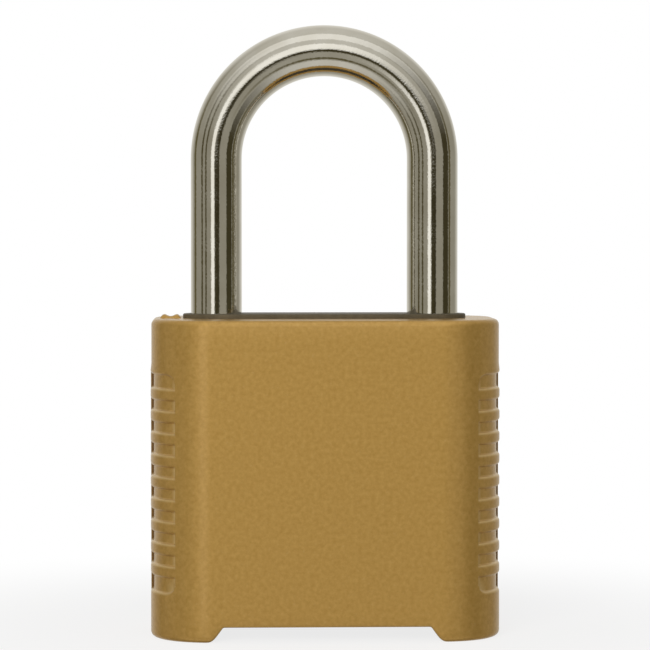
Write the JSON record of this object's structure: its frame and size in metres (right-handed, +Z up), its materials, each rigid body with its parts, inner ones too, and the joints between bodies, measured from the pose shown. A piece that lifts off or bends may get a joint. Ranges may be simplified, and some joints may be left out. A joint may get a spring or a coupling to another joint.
{
  "type": "combination padlock",
  "caption": "Rugged combination padlock: die-cast metal body with ribbed sides, chrome U shackle and number dials in its underside.",
  "frame": {"origin": "centre of the bounding box's bottom face, on the plane that both feet stand on", "axes": "+X right as the front face is seen, towards the toe leg of the shackle; +Y back, away from the front face; +Z up, towards the shackle's bow"},
  "size_m": [0.0544, 0.028, 0.0955],
  "materials": {
    "gold_paint": "metallic",
    "plate_black": "satin",
    "chrome": "polished",
    "seal_rubber": "matte",
    "dial_black": "gloss",
    "brass": "machined",
    "steel": "brushed",
    "dark_steel": "blackened",
    "cast_metal": "as cast"
  },
  "bodies": {
    "case": {"body_shell": "gold_paint", "bottom_plate": "plate_black", "plate_screws": "dark_steel", "shackle_seal": "seal_rubber", "dial_cage": "cast_metal", "cage_screws": "dark_steel", "spring_seat": "steel", "detent_spring": "steel", "shackle_spring": "steel", "carriage_spring": "steel"},
    "shackle": {"shackle": "chrome", "shackle_clip": "steel"},
    "carriage": {"locking_carriage": "cast_metal", "spindle": "steel", "spindle_clip": "steel"},
    "dial_1": {"dial_1": "dial_black", "code_sleeve_1": "brass"},
    "dial_2": {"dial_2": "dial_black", "code_sleeve_2": "brass"},
    "dial_3": {"dial_3": "dial_black", "code_sleeve_3": "brass"},
    "dial_4": {"dial_4": "dial_black", "code_sleeve_4": "brass"}
  },
  "joints": [
    {"name": "shackle_lift", "type": "slide", "parent": "case", "child": "shackle", "axis": [0, 0, 1], "range_m": [0, 0.016], "deforming": ["shackle_spring"]},
    {"name": "carriage_slide", "type": "slide", "parent": "case", "child": "carriage", "axis": [-1, 0, 0], "range_m": [0, 0.0042], "deforming": ["carriage_spring"]},
    {"name": "dial_1_turn", "type": "hinge", "parent": "case", "child": "dial_1", "pos_m": [-0.0111, 0, 0.0098], "axis": [1, 0, 0], "continuous": true, "deforming": ["detent_spring"]},
    {"name": "dial_2_turn", "type": "hinge", "parent": "case", "child": "dial_2", "pos_m": [-0.0037, 0, 0.0098], "axis": [1, 0, 0], "continuous": true},
    {"name": "dial_3_turn", "type": "hinge", "parent": "case", "child": "dial_3", "pos_m": [0.0037, 0, 0.0098], "axis": [1, 0, 0], "continuous": true},
    {"name": "dial_4_turn", "type": "hinge", "parent": "case", "child": "dial_4", "pos_m": [0.0111, 0, 0.0098], "axis": [1, 0, 0], "continuous": true}
  ],
  "couplings": [
    {"joint": "carriage_slide", "follows": "shackle_lift", "ratio": 0.2625}
  ]
}
